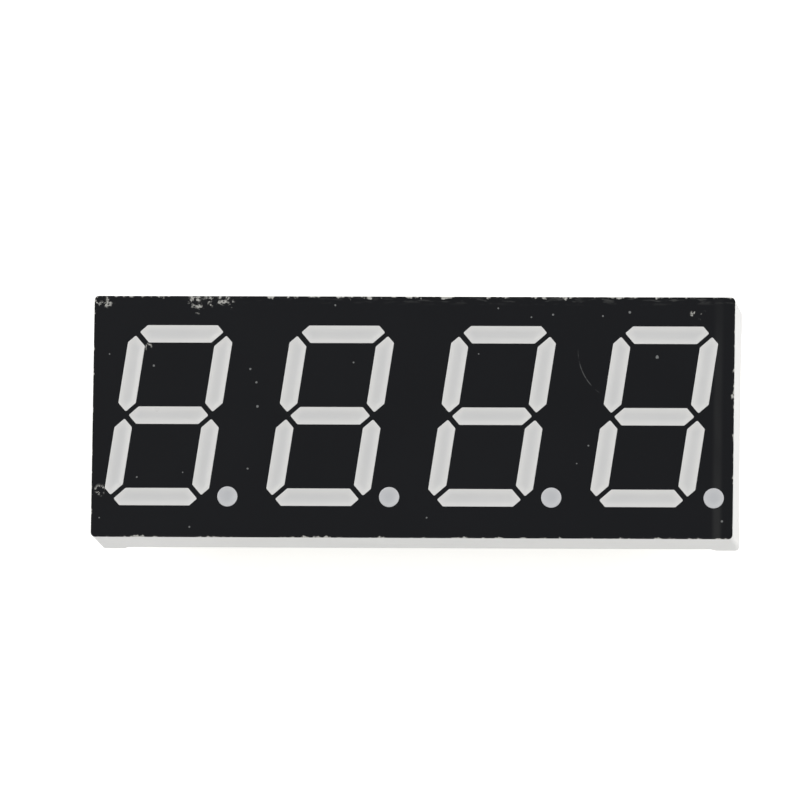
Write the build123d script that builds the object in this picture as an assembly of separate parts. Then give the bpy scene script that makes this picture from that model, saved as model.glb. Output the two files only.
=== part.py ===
from build123d import *
import math
import os

# A four-digit seven-segment LED display, in millimetres.
# +Z points out of the display face, +X runs along the row of digits as they are read, and +Y
# towards their tops. The origin is the centre of the pin grid, in the plane of the feet.

# Digits
digit_count = 4
digit_pitch = 12.7  # from one digit to the next
digit_height = 14.2
digit_width = 8.2  # of the upright digit, before it is slanted
slant = 8.15  # degrees
stroke = 1.37  # width of a bar
segment_gap = 0.39  # wall between two bars that meet
corner_bevel = 1.35  # cut across each outer corner of a digit
window_corner_radius = 0.12
digit_shift_x = -0.13  # digit centre from the centre of its cell
digit_shift_y = 0.09
point_x = 4.59  # decimal point from the centre of its cell
point_y = -6.29
point_diameter = 1.58

# Light wells behind the bars: each narrows towards the board
well_side_taper = 0.25  # along the long edges
well_end_taper = 1.38  # at the ends and across the bevels
point_taper = 0.17

# Housing
body_height = 8.0  # from the feet to the face
end_trim = 0.5  # shorter than its cells, so that displays stack side by side
wall = 1.0
body_corner_radius = 0.35
ink_thickness = 0.03
foot_height = 0.9
foot_size = 1.85
foot_ramp = 0.35
deck_skin = 1.3  # left in front of the pockets between the wells
pocket_wall = 0.9  # left between a pocket and the wells around it
pocket_corner_radius = 0.4

# Board and potting
board_thickness = 1.0
board_clearance = 0.08
potting_thickness = 1.0
potting_inset = 0.3  # below the rim of the housing

# Pins, on the standard grid of a tenth of an inch
grid = 2.54
pins_per_row = 6
pin_diameter = 0.5
pin_length = 6.0  # past the feet
pin_tip_chamfer = 0.08
pin_swell = 0.02  # the radius grows by this from the rim to the head, so that it can't pull out
pin_hole_clearance = 0.03
head_radius = 0.38
head_crown_radius = 0.3
head_height = 0.2
head_clearance = 0.08
solder_radius = 0.65  # foot of the fillet, on its land
solder_tip_radius = 0.32
solder_height = 0.55
land_margin = 0.15  # board left outside the row of solder joints

# Light-emitting dies
copper_thickness = 0.035
die_size = 0.25
die_height = 0.2
die_pad_size = 0.36
bond_pad_size = 0.24
bond_span = 0.55  # from the die to its bond pad
wire_diameter = 0.03
wire_rise = 0.1  # straight up from the die before the wire bends over

# Places worked out from the sizes above
face_top = body_height
ink_bottom = face_top - ink_thickness
rim = foot_height
potting_bottom = rim + potting_inset
board_bottom = potting_bottom + potting_thickness
board_top = board_bottom + board_thickness
pocket_top = ink_bottom - deck_skin
pin_radius = pin_diameter / 2
head_pocket_radius = head_radius + head_clearance
row_clear = digit_height / 2 + digit_shift_y - well_side_taper + head_pocket_radius
row_spacing = grid * math.ceil(2 * row_clear / grid)
row_edge = solder_radius + land_margin + board_clearance + wall
body_width = row_spacing + 2 * row_edge
body_length = digit_count * digit_pitch - end_trim
cell_centres = [(i - (digit_count - 1) / 2) * digit_pitch for i in range(digit_count)]
lean = math.tan(math.radians(slant))

os.makedirs("parts", exist_ok=True)


def save(name, shape):
    export_step(shape, f"parts/{name}.step")


def slanted(x, y):
    """A point of the upright digit, leaned over with the rest of it."""
    return x + y * lean, y


# ---- Outlines of the bars -------------------------------------------------------------------
# Each is a list of corners, anticlockwise, and each corner carries the taper of the edge that
# starts there. The centre of the digit is at 0, 0.


def upright_bars():
    """The seven bars of an upright digit."""
    top, side = digit_height / 2, digit_width / 2
    inner_top, inner_side = top - stroke, side - stroke
    middle = side - stroke / 2
    q = segment_gap / math.sqrt(2)
    # The mitre between two bars is a line at 45 degrees through the inner corner, moved by q
    # to either side, and the bevel is the line x + y = bevel.
    mitre = inner_top - inner_side
    bevel = side + top - corner_bevel
    flat, draft = well_side_taper, well_end_taper

    tip = (bevel - mitre - q) / 2, (bevel + mitre + q) / 2
    inner = inner_top - mitre - q
    bar_a = [
        (-inner, inner_top, flat),
        (inner, inner_top, draft),
        (*tip, draft),
        (bevel - top, top, flat),
        (top - bevel, top, draft),
        (-tip[0], tip[1], draft),
    ]
    tip = (bevel - mitre + q) / 2, (bevel + mitre - q) / 2
    low = stroke / 2 + q
    bar_b = [
        (inner_side, low, draft),
        (middle, q, draft),
        (side, low, flat),
        (side, bevel - side, draft),
        (*tip, draft),
        (inner_side, inner_side + mitre - q, flat),
    ]
    end = middle - q
    bar_g = [
        (end, 0, draft),
        (end - stroke / 2, stroke / 2, flat),
        (stroke / 2 - end, stroke / 2, draft),
        (-end, 0, draft),
        (stroke / 2 - end, -stroke / 2, flat),
        (end - stroke / 2, -stroke / 2, draft),
    ]
    return {
        "a": bar_a,
        "b": bar_b,
        "c": mirrored(bar_b, 1, -1),
        "d": mirrored(bar_a, 1, -1),
        "e": mirrored(mirrored(bar_b, 1, -1), -1, 1),
        "f": mirrored(bar_b, -1, 1),
        "g": bar_g,
    }


def mirrored(bar, across_x, across_y):
    """The bar on the other side, still anticlockwise, with each taper on its own edge."""
    tapers = [taper for _, _, taper in bar]
    corners = [(x * across_x, y * across_y) for x, y, _ in bar]
    turned = list(reversed(corners))
    edges = list(reversed(tapers[:-1])) + [tapers[-1]]
    return [(x, y, taper) for (x, y), taper in zip(turned, edges)]


def inset(corners, distances):
    """The outline with each edge moved inwards by its own distance."""
    count = len(corners)
    lines = []
    for i, (x, y) in enumerate(corners):
        next_x, next_y = corners[(i + 1) % count]
        length = math.hypot(next_x - x, next_y - y)
        normal_x, normal_y = (y - next_y) / length, (next_x - x) / length
        lines.append((normal_x, normal_y, normal_x * x + normal_y * y + distances[i]))
    moved = []
    for i in range(count):
        ax, ay, a = lines[i - 1]
        bx, by, b = lines[i]
        turn = ax * by - ay * bx
        moved.append(((a * by - b * ay) / turn, (ax * b - bx * a) / turn))
    return moved


def flat_face(corners, z):
    return Face(Wire.make_polygon([(x, y, z) for x, y in corners]))


def well_of(bar):
    """The solid that fills the light well of one bar, from the board to the face."""
    front = [slanted(x, y) for x, y, _ in bar]
    rear = inset(front, [taper for _, _, taper in bar])
    high = [(x, y, face_top) for x, y in front]
    low = [(x, y, board_top) for x, y in rear]
    sides = [[high[i - 1], high[i], low[i], low[i - 1]] for i in range(len(bar))]
    faces = [Face(Wire.make_polygon(corners)) for corners in [high, low] + sides]
    solid = Solid(Shell(faces))
    steep = [edge for edge in solid.edges() if edge.bounding_box().size.Z > ink_thickness]
    return fillet(steep, window_corner_radius)


def cone(low_radius, high_radius, bottom, top):
    return Pos(0, 0, bottom) * Cone(
        low_radius, high_radius, top - bottom, align=(Align.CENTER, Align.CENTER, Align.MIN)
    )


bars = upright_bars()
wells = {letter: well_of(bar) for letter, bar in bars.items()}
point_radius = point_diameter / 2
point_well = Pos(point_x, point_y, 0) * cone(
    point_radius - point_taper, point_radius, board_top, face_top
)


def digit_place(index):
    return Pos(cell_centres[index] + digit_shift_x, digit_shift_y, 0)


def cell_place(index):
    return Pos(cell_centres[index], 0, 0)


placed_wells = [digit_place(i) * well for i in range(digit_count) for well in wells.values()]
placed_points = [cell_place(i) * point_well for i in range(digit_count)]


# ---- Dies, pads and bond wires --------------------------------------------------------------
# One die glows at the bottom of each well, and a gold wire joins it to a pad beside it.


def box_on(size, height, bottom):
    return Pos(0, 0, bottom) * Box(
        size, size, height, align=(Align.CENTER, Align.CENTER, Align.MIN)
    )


copper_top = board_top + copper_thickness
die_top = copper_top + die_height
die_x = -bond_span / 2 + (die_pad_size - bond_pad_size) / 4
bond_x = die_x + bond_span
loop_base = die_top + wire_rise
die_solid = Pos(die_x, 0, 0) * box_on(die_size, die_height, copper_top)
die_pad_solid = Pos(die_x, 0, 0) * box_on(die_pad_size, copper_thickness, board_top)
bond_pad_solid = Pos(bond_x, 0, 0) * box_on(bond_pad_size, copper_thickness, board_top)
wire_path = Wire(
    [
        Edge.make_line((die_x, 0, die_top), (die_x, 0, loop_base)),
        Edge.make_three_point_arc(
            (die_x, 0, loop_base),
            ((die_x + bond_x) / 2, 0, loop_base + bond_span / 2),
            (bond_x, 0, loop_base),
        ),
        Edge.make_line((bond_x, 0, loop_base), (bond_x, 0, copper_top)),
    ]
)
wire_solid = sweep(Plane(origin=(die_x, 0, die_top)) * Circle(wire_diameter / 2), wire_path)


def die_places(index):
    """Where each well of a digit holds its die, turned along the bar."""
    places = {}
    for letter, bar in bars.items():
        floor = wells[letter].faces().sort_by(Axis.Z)[0].center()
        turn = 0 if letter in "adg" else 90 - slant
        places[f"segment_{letter}"] = digit_place(index) * Pos(floor.X, floor.Y, 0) * Rot(0, 0, turn)
    places["point"] = cell_place(index) * Pos(point_x, point_y, 0)
    return places


# ---- Reflector housing ----------------------------------------------------------------------
# One white moulding: four walls on corner feet, and a deep deck that holds the light wells.


def rounded_block(bottom, top):
    outline = RectangleRounded(body_length, body_width, body_corner_radius)
    return extrude(Pos(0, 0, bottom) * outline, top - bottom)


def recess_outline(clearance):
    """The inside of the walls, stepped around the four corner posts."""
    across_x = body_length / 2 - wall - clearance
    across_y = body_width / 2 - wall - clearance
    post_x = body_length / 2 - foot_size - clearance
    post_y = body_width / 2 - foot_size - clearance
    return Rectangle(2 * across_x, 2 * post_y) + Rectangle(2 * post_x, 2 * across_y)


def standoff_cut(overall, depth):
    """The space under one pair of walls, between feet whose inner ends are ramped."""
    low = overall / 2 - foot_size
    high = low - foot_ramp
    profile = Polygon((-low, 0), (low, 0), (high, rim), (-high, rim), align=None)
    return extrude(Plane.XZ * profile, depth / 2, both=True)


def leaning_pocket(left, right, bottom, top):
    """A pocket in the back of the deck, leaning with the digits."""
    corners = [(left, bottom), (right, bottom), (right, top), (left, top)]
    outline = flat_face([slanted(x, y) for x, y in corners], board_top)
    solid = extrude(outline, pocket_top - board_top, dir=(0, 0, 1))
    return fillet(solid.edges().filter_by(Axis.Z), pocket_corner_radius)


def counter_pockets():
    """The two pockets inside the loops of one digit."""
    across = digit_width / 2 - stroke - pocket_wall
    low = stroke / 2 + pocket_wall
    high = digit_height / 2 - stroke - pocket_wall
    return [leaning_pocket(-across, across, low, high), leaning_pocket(-across, across, -high, -low)]


def between_pocket():
    """The pocket between one digit and the next, above the decimal point."""
    left = digit_width / 2 + pocket_wall
    right = digit_pitch - left
    low = point_y + point_radius + pocket_wall - digit_shift_y
    high = digit_height / 2 - stroke / 2 - pocket_wall
    return leaning_pocket(left, right, low, high)


row_signs = [-1] * pins_per_row + [1] * pins_per_row
steps = [(i - (pins_per_row - 1) / 2) * grid for i in range(pins_per_row)]
pin_places = [
    Pos(x, sign * row_spacing / 2, 0) for x, sign in zip(steps + steps[::-1], row_signs)
]


def disc(radius, bottom, top):
    return Pos(0, 0, bottom) * Cylinder(
        radius, top - bottom, align=(Align.CENTER, Align.CENTER, Align.MIN)
    )


housing_cuts = placed_wells + placed_points
housing_cuts.append(standoff_cut(body_length, body_width * 2))
housing_cuts.append(Rot(0, 0, 90) * standoff_cut(body_width, body_length * 2))
housing_cuts.append(extrude(recess_outline(0), board_top))
for i in range(digit_count):
    housing_cuts += [digit_place(i) * pocket for pocket in counter_pockets()]
for i in range(digit_count - 1):
    housing_cuts.append(digit_place(i) * between_pocket())
head_pocket = disc(head_pocket_radius, board_top, board_top + head_height + head_clearance)
housing_cuts += [place * head_pocket for place in pin_places]
save("reflector_housing", rounded_block(0, ink_bottom) - housing_cuts)

# The face is printed black around the windows.
save("face_ink", rounded_block(ink_bottom, face_top) - placed_wells - placed_points)


# ---- Circuit board and its pins -------------------------------------------------------------

swollen_radius = pin_radius + pin_swell
pin_hole = disc(swollen_radius + pin_hole_clearance, board_bottom, board_top)
board_blank = extrude(Pos(0, 0, board_bottom) * recess_outline(board_clearance), board_thickness)
save("circuit_board", board_blank - [place * pin_hole for place in pin_places])

shank = disc(pin_radius, -pin_length, rim)
shank = chamfer(shank.edges().sort_by(Axis.Z)[0], pin_tip_chamfer)
neck = cone(pin_radius, swollen_radius, rim, board_top)
head = cone(head_radius, head_crown_radius, board_top, board_top + head_height)
pin = shank + neck + head
for number, place in enumerate(pin_places, start=1):
    save(f"pin_{number}", place * pin)

solder_cone = cone(solder_tip_radius, solder_radius, board_bottom - solder_height, board_bottom)
save("solder_joints", Compound([place * (solder_cone - pin) for place in pin_places]))


# ---- Windows, with the dies and wires cast into them ----------------------------------------

die_pads, bond_pads = [], []
for i in range(digit_count):
    dies, wires = [], []
    cast = {f"segment_{letter}": digit_place(i) * well for letter, well in wells.items()}
    cast["point"] = placed_points[i]
    for name, place in die_places(i).items():
        inside = [place * solid for solid in (die_solid, wire_solid, die_pad_solid, bond_pad_solid)]
        save(f"digit_{i + 1}_{name}", cast[name] - inside)
        dies.append(inside[0])
        wires.append(inside[1])
        die_pads.append(inside[2])
        bond_pads.append(inside[3])
    save(f"digit_{i + 1}_led_dies", Compound(dies))
    save(f"digit_{i + 1}_bond_wires", Compound(wires))
save("die_pads", Compound(die_pads))
save("bond_pads", Compound(bond_pads))


# ---- Potting --------------------------------------------------------------------------------
# Resin poured over the back of the board, around the pins and their solder.

potting_blank = extrude(Pos(0, 0, potting_bottom) * recess_outline(0), potting_thickness)
filled = [place * solid for place in pin_places for solid in (pin, solder_cone)]
save("back_potting", potting_blank - filled)
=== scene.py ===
import math

import bmesh
import bpy
import numpy as np
from mathutils import Matrix, Vector
from mathutils.geometry import delaunay_2d_cdt


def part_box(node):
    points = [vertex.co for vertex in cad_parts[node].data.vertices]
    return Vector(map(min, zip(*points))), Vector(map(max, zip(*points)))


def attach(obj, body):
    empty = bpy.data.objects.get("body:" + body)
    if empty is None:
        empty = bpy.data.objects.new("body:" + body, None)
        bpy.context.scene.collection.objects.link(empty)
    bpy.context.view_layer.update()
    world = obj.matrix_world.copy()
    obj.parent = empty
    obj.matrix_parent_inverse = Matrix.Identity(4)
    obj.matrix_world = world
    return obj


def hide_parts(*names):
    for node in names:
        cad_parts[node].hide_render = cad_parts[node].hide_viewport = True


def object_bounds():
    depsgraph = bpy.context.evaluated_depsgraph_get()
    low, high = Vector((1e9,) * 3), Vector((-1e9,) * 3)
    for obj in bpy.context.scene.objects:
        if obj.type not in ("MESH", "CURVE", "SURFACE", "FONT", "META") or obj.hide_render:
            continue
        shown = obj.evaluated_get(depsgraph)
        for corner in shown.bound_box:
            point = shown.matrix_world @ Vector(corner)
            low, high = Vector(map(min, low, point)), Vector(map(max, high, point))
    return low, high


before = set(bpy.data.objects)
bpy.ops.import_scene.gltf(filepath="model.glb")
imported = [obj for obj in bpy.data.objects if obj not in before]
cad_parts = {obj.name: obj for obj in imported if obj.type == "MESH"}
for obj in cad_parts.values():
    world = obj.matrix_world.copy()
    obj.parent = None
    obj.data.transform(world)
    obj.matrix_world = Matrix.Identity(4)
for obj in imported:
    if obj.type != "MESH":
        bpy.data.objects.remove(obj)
cad_box = [list(corner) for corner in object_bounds()]

# ---- Camera and light ----------------------------------------------------------------------
# The display lies face up on its pins. The camera looks down on it from far off, a few
# degrees towards the lower long side and the right end, in soft light from three panels.

MM = 0.001
face_low, face_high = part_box("face_ink")

view_distance = 1200 * MM
view_right, view_down = math.radians(5.2), math.radians(7.0)
view_roll = math.radians(0.82)
view_width = 62.5 * MM
off_centre = Vector((0.99, -1.34, 0)) * MM

toward = Vector((math.tan(view_right), -math.tan(view_down), 1)).normalized()
across = Vector((0, 1, 0)).cross(toward).normalized()
turned = Matrix((across, toward.cross(across), toward)).transposed()
turned = turned @ Matrix.Rotation(view_roll, 3, "Z")
target = Vector((0, 0, face_high.z)) - turned @ off_centre

camera = bpy.data.objects.new("camera", bpy.data.cameras.new("camera"))
camera.data.sensor_width = 36
camera.data.lens = 36 * view_distance / view_width
camera.data.clip_start = 0.01
camera.matrix_world = Matrix.Translation(target + toward * view_distance) @ turned.to_4x4()
bpy.context.scene.collection.objects.link(camera)
bpy.context.scene.camera = camera
bpy.context.scene.view_settings.view_transform = "Standard"

sky = bpy.data.worlds.new("sky")
sky.use_nodes = True
sky.node_tree.nodes["Background"].inputs["Color"].default_value = (0.93, 0.96, 1.0, 1)
sky.node_tree.nodes["Background"].inputs["Strength"].default_value = 0.30
bpy.context.scene.world = sky


def soft_light(name, azimuth, elevation, size, power):
    """A square panel half a metre away; azimuth 0 is past the right end, 90 past the top."""
    light = bpy.data.objects.new(name, bpy.data.lights.new(name, "AREA"))
    light.data.size = size
    light.data.energy = power
    turn, rise = math.radians(azimuth), math.radians(elevation)
    place = Vector((math.cos(turn) * math.cos(rise), math.sin(turn) * math.cos(rise), math.sin(rise)))
    light.location = place * 0.5
    light.rotation_euler = place.to_track_quat("Z", "Y").to_euler()
    bpy.context.scene.collection.objects.link(light)


soft_light("key_light", 20, 48, 0.34, 1.55)
soft_light("fill_light", 160, 50, 0.34, 1.15)
soft_light("front_light", -95, 42, 0.30, 0.1)


# ---- Floor ---------------------------------------------------------------------------------
# A plain pale table top under the pin tips. It isn't part of the display.


class Signal:
    """A number that varies over a surface. Arithmetic on it adds Math nodes."""

    def __init__(self, finish, socket):
        self.finish, self.socket = finish, socket

    def math(self, operation, *others):
        inputs = dict(enumerate((self, *others)))
        return self.finish.node("ShaderNodeMath", {"operation": operation}, inputs)

    def __add__(self, other):
        return self.math("ADD", other)

    def __sub__(self, other):
        return self.math("SUBTRACT", other)

    def __mul__(self, other):
        return self.math("MULTIPLY", other)

    def __rsub__(self, other):
        return self * -1.0 + other

    __radd__ = __add__
    __rmul__ = __mul__

    def __abs__(self):
        return self.math("ABSOLUTE")

    def lesser(self, other):
        return self.math("MINIMUM", other)

    def greater(self, other):
        return self.math("MAXIMUM", other)

    def ramp(self, start, end):
        """0 at start, 1 at end and smooth between them; start may be the larger."""
        inputs = {
            "Value": self,
            "From Min": min(start, end),
            "From Max": max(start, end),
            "To Min": float(start > end),
            "To Max": float(start < end),
        }
        return self.finish.node("ShaderNodeMapRange", {"interpolation_type": "SMOOTHSTEP"}, inputs)


class Finish:
    """A material, and one method that adds any node to it."""

    def __init__(self, name):
        self.material = bpy.data.materials.new(name)
        self.material.use_nodes = True
        self.tree = self.material.node_tree
        self.tree.nodes.clear()
        metres = self.node("ShaderNodeTexCoord", output="Object")
        self.place = self.scaled(metres, (1 / MM, 1 / MM, 1 / MM))

    def node(self, kind, settings=None, inputs=None, output=0):
        made = self.tree.nodes.new(kind)
        for key, value in (settings or {}).items():
            setattr(made, key, value)
        for key, value in (inputs or {}).items():
            if isinstance(value, Signal):
                self.tree.links.new(value.socket, made.inputs[key])
            else:
                made.inputs[key].default_value = value
        return Signal(self, made.outputs[output])

    def scaled(self, vector, factors):
        return self.node("ShaderNodeVectorMath", {"operation": "MULTIPLY"}, {0: vector, 1: factors})

    def axis(self, letter):
        """One coordinate of the place on the display, in millimetres."""
        return self.node("ShaderNodeSeparateXYZ", None, {0: self.place}, letter)

    def distance(self, x, y, z):
        """How far the place is from a point, in millimetres."""
        inputs = {0: self.place, 1: (x, y, z)}
        return self.node("ShaderNodeVectorMath", {"operation": "DISTANCE"}, inputs, "Value")

    def clouds(self, per_mm, detail=2.0, seed=0.0, stretch=(1, 1, 1)):
        """Smooth noise about 0.5, with per_mm of its clouds to a millimetre."""
        inputs = {"Vector": self.scaled(self.place, stretch), "W": seed, "Scale": per_mm, "Detail": detail}
        return self.node("ShaderNodeTexNoise", {"noise_dimensions": "4D"}, inputs)

    def mix(self, share, low, high):
        """A colour that goes from low to high as share goes from 0 to 1."""
        return self.node("ShaderNodeMix", {"data_type": "RGBA"}, {0: share, 6: low, 7: high}, 2)

    def relief(self, height, depth):
        """A bump of height times depth, in millimetres."""
        return self.node("ShaderNodeBump", None, {"Height": height, "Distance": depth * MM})

    def surface(self, **sockets):
        """Ends the material in a principled surface; an underscore is a space in a socket's name."""
        inputs = {name.replace("_", " "): value for name, value in sockets.items()}
        shader = self.node("ShaderNodeBsdfPrincipled", None, inputs)
        output = self.tree.nodes.new("ShaderNodeOutputMaterial")
        self.tree.links.new(shader.socket, output.inputs["Surface"])
        return self.material


def new_object(name, mesh, material):
    made = bpy.data.objects.new(name, mesh)
    bpy.context.scene.collection.objects.link(made)
    mesh.materials.clear()
    mesh.materials.append(material)
    return made


floor_finish = Finish("pale_table")
floor_material = floor_finish.surface(
    Base_Color=(0.50, 0.50, 0.50, 1),
    Roughness=0.9,
    Emission_Color=(1, 0.99, 0.97, 1),
    Emission_Strength=0.78,
)
floor_reach = 1.5
floor_mesh = bpy.data.meshes.new("floor")
floor_level = cad_box[0][2]
corners = [(x * floor_reach, y * floor_reach, floor_level) for x, y in ((-1, -1), (1, -1), (1, 1), (-1, 1))]
floor_mesh.from_pydata(corners, [], [(0, 1, 2, 3)])
new_object("floor", floor_mesh, floor_material)


# ---- Reflector housing ---------------------------------------------------------------------
# One white moulding with four walls, corner feet and a deep deck full of light wells. It has
# the fine matt grain of its mould, faint handling marks and a dark speck on its right end.


def repaint(node, material):
    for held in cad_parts[node].material_slots:
        held.material = material


white = Finish("moulded_white")
tone = white.clouds(0.22, 2, 1.3)
grain = white.clouds(13, 3, 4.1)
scuffs = white.clouds(1.1, 4, 7.7, (0.35, 0.35, 2.5)).ramp(0.60, 0.74)
specks = white.clouds(4.5, 1, 2.9).ramp(0.775, 0.80)
right_speck = white.distance(face_high.x / MM, -7.4, 2.6).ramp(0.14, 0.06)
plain = white.mix(tone, (0.66, 0.657, 0.64, 1), (0.73, 0.728, 0.715, 1))
scuffed = white.mix(scuffs * 0.35, plain, (0.66, 0.665, 0.66, 1))
speckled = white.mix((specks * 0.5).greater(right_speck * 0.8), scuffed, (0.20, 0.17, 0.14, 1))
white_material = white.surface(
    Base_Color=speckled,
    Roughness=0.46 + (grain - 0.5) * 0.25,
    Normal=white.relief(grain + tone * 0.6, 0.006),
)
repaint("reflector_housing", white_material)


# ---- Face print ----------------------------------------------------------------------------
# Black ink, a few hundredths of a millimetre thick, printed on the face around the windows. It
# has chipped off the white plastic along the edges and at two corners, and carries dust.

half_length, half_width = face_high.x / MM, face_high.y / MM

# Where the ink is crazed: x, y and reach, in millimetres from the middle of the face
crazed_spots = [
    (-24.75, 9.2, 0.85),
    (-24.3, 8.95, 0.6),
    (-17.3, 9.15, 0.55),
    (-16.9, 8.55, 0.5),
    (-16.1, 9.1, 0.6),
    (-15.1, 9.2, 0.6),
    (-14.55, 8.85, 0.4),
    (-24.45, -5.75, 0.45),
    (-20.85, 5.5, 0.32),
    (21.9, 8.2, 0.3),
    (22.7, 8.05, 0.34),
]
# Dust and pinholes: x, y and radius
dust_spots = [
    (-20.4, 4.0, 0.11),
    (-12.8, 3.75, 0.1),
    (-12.3, 2.7, 0.1),
    (-12.2, 0.8, 0.12),
    (-4.7, 4.3, 0.08),
    (-6.2, 8.8, 0.09),
    (-23.9, 4.9, 0.07),
    (-21.6, -4.8, 0.09),
    (-18.0, -4.4, 0.07),
    (-12.9, -4.1, 0.09),
    (-24.5, -8.0, 0.07),
    (-17.4, -8.7, 0.09),
    (6.6, 8.6, 0.08),
    (9.2, 7.9, 0.08),
    (10.9, 8.1, 0.1),
    (14.8, 8.0, 0.08),
    (16.9, 8.3, 0.12),
    (5.1, 5.0, 0.07),
    (19.1, 4.8, 0.16),
    (13.8, -2.2, 0.09),
    (12.9, -3.6, 0.06),
    (1.2, -7.9, 0.08),
    (24.3, -8.1, 0.12),
]
# How deep the wear reaches in from each edge: top, bottom, left and right
edge_wear = (0.26, 0.15, 0.10, 0.17)
scratch_centre, scratch_radius = (17.0, 5.3), 4.1
rubbed_x, rubbed_width = 23.9, 0.5

black = Finish("printed_black")


def nearest(spots):
    """The distance to the nearest spot, as a share of that spot's reach."""
    found = None
    for x, y, reach in spots:
        share = black.distance(x, y, face_high.z / MM) * (1 / reach)
        found = share if found is None else found.lesser(share)
    return found


x, y = black.axis("X"), black.axis("Y")
ragged = black.clouds(1.7, 5, 3.3)
fine = black.clouds(6.5, 4, 8.8)
edges = [half_width - y, half_width + y, half_length + x, half_length - x]
edge_share = None
for edge, wear in zip(edges, edge_wear):
    share = edge * (1 / wear)
    edge_share = share if edge_share is None else edge_share.lesser(share)
edge_chips = ((ragged - 0.50) * 6.0 + (fine - 0.5) * 2.0 - edge_share).ramp(0.0, 0.5)
crazed_area = (nearest(crazed_spots) + (ragged - 0.5) * 2.0).ramp(1.1, 0.5)
flakes = black.clouds(2.6, 5, 5.5).ramp(0.51, 0.58)
crazing = crazed_area * flakes * fine.ramp(0.38, 0.52)
scuffed = (half_width - y).ramp(0.75, 0.2) * black.clouds(2.2, 5, 1.9, (0.5, 2.2, 1)).ramp(0.50, 0.64)
dust = (nearest(dust_spots) + (fine - 0.5) * 1.2).ramp(1.0, 0.55)
hairline = abs(black.distance(*scratch_centre, face_high.z / MM) - scratch_radius).ramp(0.05, 0.015)
scratch = hairline * x.ramp(15.2, 14.2) * y.ramp(1.7, 2.4) * y.ramp(5.6, 4.8) * ragged.ramp(0.35, 0.6)
rubbed = abs(x - rubbed_x).ramp(rubbed_width, 0.1) * black.clouds(0.3, 2, 6.1, (1, 0.4, 1)).ramp(0.3, 0.7)
bare = edge_chips.greater(crazing)
ink = black.mix(black.clouds(0.12, 3, 0.7), (0.0046, 0.0049, 0.0060, 1), (0.0066, 0.0070, 0.0084, 1))
rubbed_ink = black.mix((rubbed * 0.4).greater(scuffed * x.ramp(-26, 20)), ink, (0.040, 0.040, 0.039, 1))
dusty_ink = black.mix((dust * 0.38).greater(scratch * 0.16), rubbed_ink, (0.42, 0.43, 0.42, 1))
chipped_ink = black.mix((crazing * 0.75).greater(edge_chips * 0.75), dusty_ink, (0.55, 0.54, 0.50, 1))
ink_texture = black.clouds(16, 2, 9.4)
black_material = black.surface(
    Base_Color=chipped_ink,
    Roughness=0.42 + (ink_texture - 0.5) * 0.2 + bare * 0.25,
    Specular_IOR_Level=0.12,
    Normal=black.relief(ink_texture * 0.05 - bare + dust * 0.6, 0.02),
)
repaint("face_ink", black_material)


# ---- Windows -------------------------------------------------------------------------------
# Milky resin cast into the light wells, flush with the face at the rim and sunk a little in
# the middle where it shrank. Its colour is painted lighter at the rim and darker in the middle,
# painted light standing in for the white walls of the well lighting its rim.

window_spacing = 0.16
window_rings = (0.03, 0.075)
sink_depth, sink_reach = 0.04, 0.5


def distances(points, segments):
    """From each point to the nearest of the segments."""
    start, end = segments[:, 0], segments[:, 1]
    along = end - start
    length = np.maximum((along**2).sum(1), 1e-12)
    offset = points[:, None, :] - start[None]
    share = np.clip((offset * along[None]).sum(2) / length[None], 0, 1)
    return np.sqrt(((offset - share[..., None] * along[None]) ** 2).sum(2)).min(1)


def inside(points, segments):
    """Which points the outline and its holes go round an odd number of times."""
    (x1, y1), (x2, y2) = segments[:, 0].T, segments[:, 1].T
    px, py = points[:, :1], points[:, 1:]
    crossed = (y1 > py) != (y2 > py)
    rise = np.where(y1 == y2, 1, y2 - y1)
    return ((crossed & (px < (x2 - x1) * (py - y1) / rise + x1)).sum(1) % 2) == 1


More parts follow.
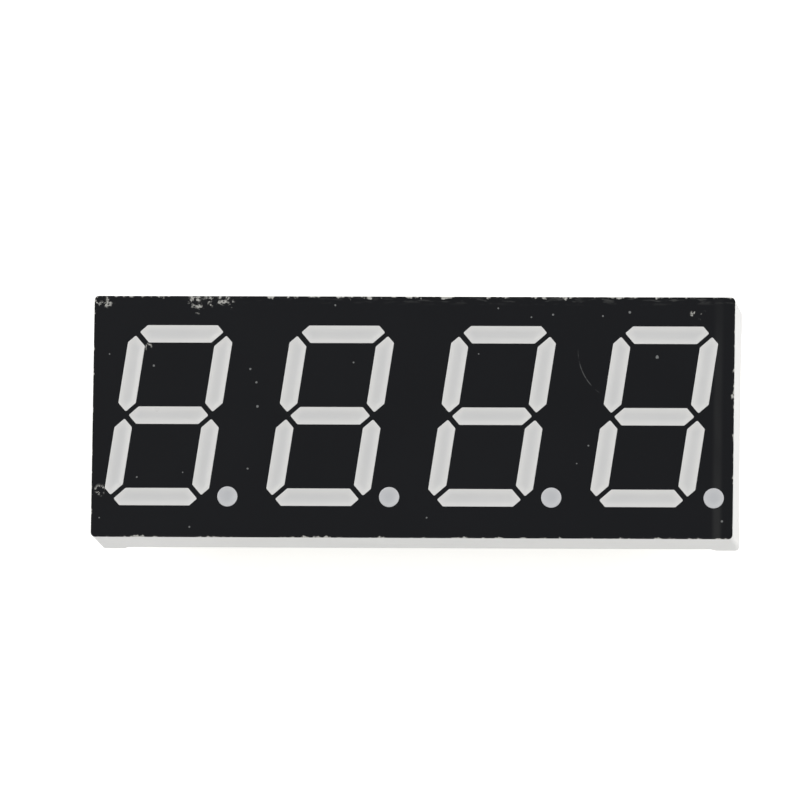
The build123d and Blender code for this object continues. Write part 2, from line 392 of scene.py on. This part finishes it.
def remade_face(node, name, side, spacing, rings, relief, material):
    """A copy of a cast solid whose flat face is remade in fine triangles, which relief moves.

    side is 1 for the face on top and -1 for the one underneath. relief gives how far a point
    rises out of the face, in millimetres, from its distance to the rim of the face.
    """
    shape = bmesh.new()
    shape.from_mesh(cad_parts[node].data)
    edge_distance = shape.verts.layers.float.new("edge_distance")
    bmesh.ops.remove_doubles(shape, verts=shape.verts, dist=1e-5 * MM)
    shape.normal_update()
    level = max(v.co.z * side for v in shape.verts) * side
    flat = [f for f in shape.faces if all(abs(v.co.z - level) < 1e-3 * MM for v in f.verts)]
    chosen = set(flat)
    rim = [e for f in flat for e in f.edges if sum(other in chosen for other in e.link_faces) == 1]
    corners = list({v for e in rim for v in e.verts})
    number = {v: i for i, v in enumerate(corners)}
    outline = np.array([v.co.xy for v in corners]) / MM
    pairs = [(number[e.verts[0]], number[e.verts[1]]) for e in rim]
    segments = np.array([(outline[a], outline[b]) for a, b in pairs])

    candidates = []
    for start, end in segments:
        length = np.linalg.norm(end - start)
        normal = np.array([start[1] - end[1], end[0] - start[0]]) / max(length, 1e-9)
        shares = (np.arange(math.ceil(length / spacing)) + 0.5) / math.ceil(length / spacing)
        for ring in rings:
            for way in (1, -1):
                candidates.append(start + shares[:, None] * (end - start) + normal * ring * way)
    ring_points = np.concatenate(candidates)
    far_enough = distances(ring_points, segments) > 0.9 * np.repeat(
        [ring for _ in segments for ring in rings for _ in (1, -1)], [len(c) for c in candidates]
    )
    ring_points = ring_points[far_enough & inside(ring_points, segments)]

    low, high = outline.min(0), outline.max(0)
    row_step = spacing * math.sqrt(3) / 2
    rows = []
    for row in range(int((high[1] - low[1]) / row_step) + 1):
        columns = np.arange(low[0] + spacing / 2 * (row % 2), high[0], spacing)
        rows.append(np.stack([columns, np.full(len(columns), low[1] + row * row_step)], 1))
    field = np.concatenate(rows)
    field = field[inside(field, segments)]
    field = field[distances(field, segments) > rings[-1] + spacing * 0.5]

    points = np.concatenate([outline, ring_points, field])
    reach = np.concatenate([np.zeros(len(outline)), distances(points[len(outline) :], segments)])
    height = relief(reach, points)
    cut = delaunay_2d_cdt([Vector(p) for p in points], pairs, [], 4, 1e-6)
    bmesh.ops.delete(shape, geom=flat, context="FACES_ONLY")
    made = []
    for place, sources in zip(cut[0], cut[3]):
        source = sources[0]
        if source < len(corners):
            vertex = corners[source]
        else:
            vertex = shape.verts.new((place.x * MM, place.y * MM, 0))
        vertex.co.z = level + side * height[source] * MM
        vertex[edge_distance] = reach[source]
        made.append(vertex)
    for triangle in cut[2]:
        face = shape.faces.new([made[i] for i in (triangle if side > 0 else reversed(triangle))])
        face.smooth = True
    shape.normal_update()
    mesh = bpy.data.meshes.new(name)
    shape.to_mesh(mesh)
    shape.free()
    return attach(new_object(name, mesh, material), "root")


def resin_with_painted_rim_light(name, lit_rim_colour, shaded_middle_colour):
    resin = Finish(name)
    depth = resin.node("ShaderNodeAttribute", {"attribute_name": "edge_distance"}, None, "Fac")
    cloudy = resin.clouds(0.35, 3, 2.2)
    # Painted light: lighter towards the rim and darker towards the middle, mixed with random cloudy tone
    painted_rim_light_and_clouds = (depth.ramp(0.02, 0.62) * 0.75 + (cloudy - 0.5) * 0.7).greater(0.0).lesser(1.0)
    bubbles = resin.clouds(9, 2, 6.6)
    return resin.surface(
        Base_Color=resin.mix(painted_rim_light_and_clouds, lit_rim_colour, shaded_middle_colour),
        Roughness=0.30 + (cloudy - 0.5) * 0.15,
        Normal=resin.relief(bubbles, 0.0015),
        Coat_Weight=0.2,
        Coat_Roughness=0.15,
    )


def window_relief(reach, points):
    share = np.clip(reach / sink_reach, 0, 1)
    return -sink_depth * share * share * (3 - 2 * share)


# The first colour is the painted lit rim, the second the painted darker middle
bar_material = resin_with_painted_rim_light("milky_resin", (0.655, 0.645, 0.625, 1), (0.55, 0.547, 0.54, 1))
# The decimal points use the same resin painted darker: painted shade for their narrower wells
shaded_point_material = resin_with_painted_rim_light("milky_resin_point_painted_shade", (0.53, 0.53, 0.535, 1), (0.45, 0.455, 0.465, 1))
windows = [n for n in sorted(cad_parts) if "_segment_" in n or n.endswith("_point")]
for node in windows:
    finish = shaded_point_material if node.endswith("_point") else bar_material
    window = remade_face(
        node, node + "_window", 1, window_spacing, window_rings, window_relief, finish
    )
    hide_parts(node)


# ---- Dies and wires ------------------------------------------------------------------------
# One light-emitting die on a gilt copper pad under each window, with a gold wire to the pad
# beside it. They are cast into the resin and don't show.

die = Finish("die_crystal")
die_material = die.surface(
    Base_Color=die.mix(die.clouds(20, 2), (0.34, 0.10, 0.06, 1), (0.50, 0.20, 0.12, 1)),
    Roughness=0.3 + die.clouds(30, 2) * 0.2,
)
gilt = Finish("gilt_copper")
gilt_material = gilt.surface(
    Base_Color=gilt.mix(gilt.clouds(15, 2), (0.78, 0.52, 0.22, 1), (0.90, 0.66, 0.32, 1)),
    Metallic=1.0,
    Roughness=0.28 + gilt.clouds(25, 2) * 0.15,
)
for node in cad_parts:
    if node.endswith("led_dies"):
        repaint(node, die_material)
    if node.endswith("bond_wires") or node.endswith("_pads"):
        repaint(node, gilt_material)


# ---- Circuit board -------------------------------------------------------------------------
# Green glass-fibre board, with its tracks showing as paler lines under the solder mask.

board_low, board_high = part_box("circuit_board")
board = Finish("green_board")
track_wave = board.axis("Y") * 0.787 + board.clouds(0.08, 1, 3.0, (1, 0.1, 1)) * 0.6
track_share = abs(track_wave.math("FRACT") - 0.5).ramp(0.17, 0.13)
on_board = abs(board.axis("Y")).ramp(6.2, 6.0) * abs(board.axis("X")).ramp(22.6, 22.3)
tracks = track_share * on_board
weave = board.clouds(7, 2, 1.0, (1, 3, 1))
mask_green = board.mix(weave, (0.030, 0.115, 0.050, 1), (0.045, 0.150, 0.066, 1))
board_material = board.surface(
    Base_Color=board.mix(tracks * 0.8, mask_green, (0.10, 0.27, 0.12, 1)),
    Roughness=0.35 + weave * 0.1,
    Normal=board.relief(tracks + weave * 0.1, 0.03),
)
repaint("circuit_board", board_material)


# ---- Pins ----------------------------------------------------------------------------------
# Twelve round pins drawn from tinned wire, pressed through the board from above and soldered.

tin = Finish("tinned_wire")
drawn = tin.clouds(9, 3, 2.0, (1, 1, 0.08))
dull = tin.clouds(0.9, 3, 5.0)
tin_material = tin.surface(
    Base_Color=tin.mix(dull, (0.62, 0.615, 0.60, 1), (0.80, 0.795, 0.77, 1)),
    Metallic=1.0,
    Roughness=0.24 + dull * 0.2,
    Normal=tin.relief(drawn, 0.006),
)
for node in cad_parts:
    if node.startswith("pin_"):
        repaint(node, tin_material)


# ---- Solder joints -------------------------------------------------------------------------
# A hollow-sided fillet of solder round each pin, on the back of the board.

first_pin, last_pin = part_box("pin_1"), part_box("pin_7")
pin_x, pin_y = [(last_pin[0][i] + last_pin[1][i]) / 2 for i in (0, 1)]
pins_per_row = 6
solder_low, solder_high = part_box("solder_joints")


def solder_tree():
    """Geometry Nodes: a fillet on every point of a grid, each one a little different."""
    tree = bpy.data.node_groups.new("solder_fillets", "GeometryNodeTree")
    tree.interface.new_socket("Geometry", in_out="OUTPUT", socket_type="NodeSocketGeometry")
    for name, kind in (
        ("Row Length", "NodeSocketFloat"),
        ("Row Spacing", "NodeSocketFloat"),
        ("Pins in Row", "NodeSocketInt"),
        ("Foot Radius", "NodeSocketFloat"),
        ("Tip Radius", "NodeSocketFloat"),
        ("Height", "NodeSocketFloat"),
        ("Tip Level", "NodeSocketFloat"),
        ("Seed", "NodeSocketInt"),
        ("Solder", "NodeSocketMaterial"),
    ):
        tree.interface.new_socket(name, in_out="INPUT", socket_type=kind)

    def node(kind, inputs=None, **settings):
        made = tree.nodes.new(kind)
        for key, value in settings.items():
            setattr(made, key, value)
        for key, value in (inputs or {}).items():
            if isinstance(value, bpy.types.NodeSocket):
                tree.links.new(value, made.inputs[key])
            else:
                made.inputs[key].default_value = value
        return made.outputs

    def math_of(operation, *values):
        return node("ShaderNodeMath", dict(enumerate(values)), operation=operation)[0]

    sizes = node("NodeGroupInput")
    grid = node(
        "GeometryNodeMeshGrid",
        {
            "Size X": sizes["Row Length"],
            "Size Y": sizes["Row Spacing"],
            "Vertices X": sizes["Pins in Row"],
            "Vertices Y": 2,
        },
    )
    cone = node(
        "GeometryNodeMeshCone",
        {
            "Vertices": 32,
            "Side Segments": 8,
            "Fill Segments": 1,
            "Radius Top": sizes["Foot Radius"],
            "Radius Bottom": sizes["Tip Radius"],
            "Depth": sizes["Height"],
        },
    )
    place = node("ShaderNodeSeparateXYZ", {0: node("GeometryNodeInputPosition")[0]})
    rise = math_of("DIVIDE", place["Z"], sizes["Height"])
    spread = math_of("SUBTRACT", sizes["Foot Radius"], sizes["Tip Radius"])
    straight = math_of("ADD", sizes["Tip Radius"], math_of("MULTIPLY", spread, rise))
    hollow = math_of("ADD", sizes["Tip Radius"], math_of("MULTIPLY", spread, math_of("POWER", rise, 2.4)))
    pinch = math_of("DIVIDE", hollow, straight)
    narrowed = node(
        "ShaderNodeCombineXYZ",
        {0: math_of("MULTIPLY", place["X"], pinch), 1: math_of("MULTIPLY", place["Y"], pinch), 2: place["Z"]},
    )
    fillet = node("GeometryNodeSetPosition", {"Geometry": cone["Mesh"], "Position": narrowed[0]})
    smooth = node("GeometryNodeSetShadeSmooth", {"Geometry": fillet[0]})
    size = node("FunctionNodeRandomValue", {2: 0.9, 3: 1.0, "Seed": sizes["Seed"]}, data_type="FLOAT")[1]
    turn = node("FunctionNodeRandomValue", {2: 0.0, 3: math.tau, "Seed": sizes["Seed"]}, data_type="FLOAT")[1]
    across = node("ShaderNodeCombineXYZ", {0: size, 1: size, 2: 1.0})[0]
    placed = node(
        "GeometryNodeInstanceOnPoints",
        {
            "Points": grid["Mesh"],
            "Instance": smooth[0],
            "Rotation": node("ShaderNodeCombineXYZ", {2: turn})[0],
            "Scale": across,
        },
    )
    raised = node(
        "GeometryNodeTransform",
        {"Geometry": placed[0], "Translation": node("ShaderNodeCombineXYZ", {2: sizes["Tip Level"]})[0]},
    )
    whole = node("GeometryNodeRealizeInstances", {"Geometry": raised[0]})
    painted = node("GeometryNodeSetMaterial", {"Geometry": whole[0], "Material": sizes["Solder"]})
    node("NodeGroupOutput", {"Geometry": painted[0]})
    return tree


def grown(name, tree, values):
    """A plain mesh object made by a tree, with its inputs set by name."""
    host = bpy.data.objects.new(name, bpy.data.meshes.new(name))
    bpy.context.scene.collection.objects.link(host)
    modifier = host.modifiers.new("grow", "NODES")
    modifier.node_group = tree
    for socket in tree.interface.items_tree:
        if socket.in_out == "INPUT":
            modifier[socket.identifier] = values[socket.name]
    evaluated = host.evaluated_get(bpy.context.evaluated_depsgraph_get())
    mesh = bpy.data.meshes.new_from_object(evaluated)
    host.modifiers.remove(modifier)
    host.data = mesh
    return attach(host, "root")


solder = Finish("solder")
frosted = solder.clouds(6, 4, 3.0)
solder_material = solder.surface(
    Base_Color=solder.mix(frosted, (0.50, 0.50, 0.50, 1), (0.70, 0.70, 0.69, 1)),
    Metallic=1.0,
    Roughness=0.25 + frosted * 0.25,
    Normal=solder.relief(frosted, 0.02),
)
fillets = grown(
    "solder_fillets",
    solder_tree(),
    {
        "Row Length": 2 * abs(pin_x),
        "Row Spacing": 2 * abs(pin_y),
        "Pins in Row": pins_per_row,
        "Foot Radius": solder_high.y - abs(pin_y),
        "Tip Radius": 0.28 * MM,
        "Height": solder_high.z - solder_low.z,
        "Tip Level": solder_low.z,
        "Seed": 4,
        "Solder": solder_material,
    },
)
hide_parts("solder_joints")


# ---- Potting -------------------------------------------------------------------------------
# Clear, slightly yellow resin poured over the back of the board. It climbs a little where it
# wets the walls and the pins, and the board and its solder show through it.

potting_spacing = 0.42
potting_rings = (0.08, 0.2)
climb_height, climb_reach = 0.16, 0.28
slack = 0.012 * MM


def potting_relief(reach, points):
    swell = 0.012 * np.sin(points[:, 0] * 0.21 + 0.6) * np.cos(points[:, 1] * 0.33)
    return climb_height * np.exp(-reach / climb_reach) + swell * np.clip(reach, 0, 1)


amber = Finish("clear_resin")
streaks = amber.clouds(0.25, 3, 1.0)
amber_material = amber.surface(
    Base_Color=amber.mix(streaks, (0.60, 0.52, 0.34, 1), (0.72, 0.66, 0.48, 1)),
    Roughness=0.07 + streaks * 0.06,
    Alpha=0.26 + streaks * 0.12,
    Coat_Weight=1.0,
    Coat_Roughness=0.05,
    Normal=amber.relief(amber.clouds(0.8, 2, 4.0), 0.01),
)
potting = remade_face(
    "back_potting", "potting_resin", -1, potting_spacing, potting_rings, potting_relief, amber_material
)
for vertex, normal in [(v, v.normal.copy()) for v in potting.data.vertices]:
    vertex.co -= normal * slack
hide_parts("back_potting")
